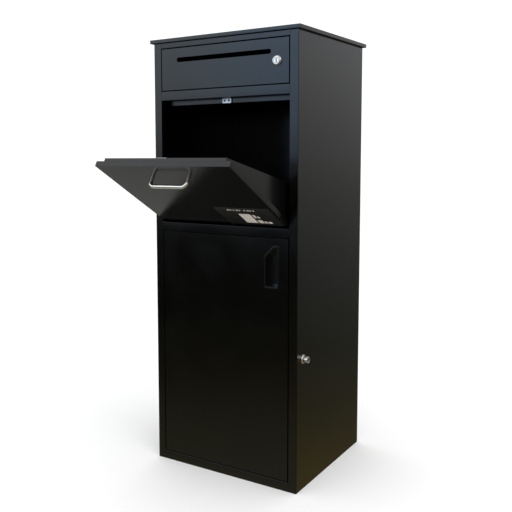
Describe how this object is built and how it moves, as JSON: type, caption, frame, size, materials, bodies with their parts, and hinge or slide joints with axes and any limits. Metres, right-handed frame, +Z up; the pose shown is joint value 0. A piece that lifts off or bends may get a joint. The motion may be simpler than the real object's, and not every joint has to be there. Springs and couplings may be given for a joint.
{
  "type": "parcel drop box",
  "caption": "Free-standing steel parcel drop box with a tilting parcel hopper, a lockable letter door with a slot above it and a lockable collection door below.",
  "frame": {"origin": "centre of the cabinet's footprint, on the floor it stands on", "axes": "+X to the right across the front, +Y from the front to the back, +Z up"},
  "size_m": [0.4215, 0.6366, 1.077],
  "materials": {
    "black_powder": "satin black powder coat",
    "dark_powder": "satin black powder coat, inner panels",
    "zinc_steel": "zinc-plated steel",
    "black_oxide": "black-oxide steel pins",
    "chrome": "polished chrome",
    "rubber": "black rubber",
    "magnet": "nickel-plated magnet",
    "label": "matte dark grey film"
  },
  "bodies": {
    "cabinet": {"left_side_panel": "black_powder", "right_side_panel": "black_powder", "left_stile": "black_powder", "right_stile": "black_powder", "top_rail": "black_powder", "header_rail": "black_powder", "mid_rail": "black_powder", "bottom_rail": "black_powder", "back_panel": "black_powder", "base_pan": "black_powder", "roof_panel": "dark_powder", "mail_shelf": "black_powder", "catch_plate": "dark_powder", "catch_body": "zinc_steel", "catch_magnets": "magnet", "left_stop_bracket": "dark_powder", "right_stop_bracket": "dark_powder", "left_stop_pad": "rubber", "right_stop_pad": "rubber", "upper_door_stop": "black_powder", "lower_door_stop": "black_powder", "mail_door_stop": "black_powder", "upper_door_pad": "rubber", "lower_door_pad": "rubber", "mail_door_pad": "rubber", "side_lock_body": "chrome", "side_lock_nut": "zinc_steel"},
    "hopper": {"flap_skin": "black_powder", "hopper_liner": "dark_powder", "hopper_shelf": "dark_powder", "left_cheek": "dark_powder", "right_cheek": "dark_powder", "left_hinge_pin": "black_oxide", "right_hinge_pin": "black_oxide", "pull_handle": "chrome", "handle_screws": "zinc_steel", "info_label": "label", "catch_strike": "zinc_steel", "left_stop_stud": "zinc_steel", "right_stop_stud": "zinc_steel"},
    "mail_door": {"mail_door_panel": "black_powder", "mail_door_top_pin": "black_oxide", "mail_door_bottom_pin": "black_oxide", "mail_lock_body": "chrome", "mail_lock_nut": "zinc_steel"},
    "mail_lock": {"mail_lock_plug": "chrome", "mail_lock_cam": "zinc_steel", "mail_lock_screw": "zinc_steel"},
    "lower_door": {"lower_door_panel": "black_powder", "grip_cup": "dark_powder", "lower_door_stiffener": "black_powder", "lower_door_top_pin": "black_oxide", "lower_door_bottom_pin": "black_oxide", "lock_keeper": "zinc_steel"},
    "side_lock": {"side_lock_plug": "chrome", "side_lock_cam": "zinc_steel", "side_lock_screw": "zinc_steel"}
  },
  "joints": [
    {"name": "hopper_tilt", "type": "hinge", "parent": "cabinet", "child": "hopper", "pos_m": [0, -0.1825, 0.631], "axis": [-1, 0, 0], "range_deg": [0, 61]},
    {"name": "mail_door_swing", "type": "hinge", "parent": "cabinet", "child": "mail_door", "pos_m": [-0.1665, -0.1815, 1.002], "axis": [0, 0, -1], "range_deg": [0, 110]},
    {"name": "mail_lock_turn", "type": "hinge", "parent": "mail_door", "child": "mail_lock", "pos_m": [0.1475, -0.1875, 1.002], "axis": [0, -1, 0], "range_deg": [0, 90]},
    {"name": "lower_door_swing", "type": "hinge", "parent": "cabinet", "child": "lower_door", "pos_m": [-0.1665, -0.1815, 0.312], "axis": [0, 0, -1], "range_deg": [0, 110]},
    {"name": "side_lock_turn", "type": "hinge", "parent": "cabinet", "child": "side_lock", "pos_m": [0.2, -0.1555, 0.316], "axis": [-1, 0, 0], "range_deg": [0, 90]}
  ]
}
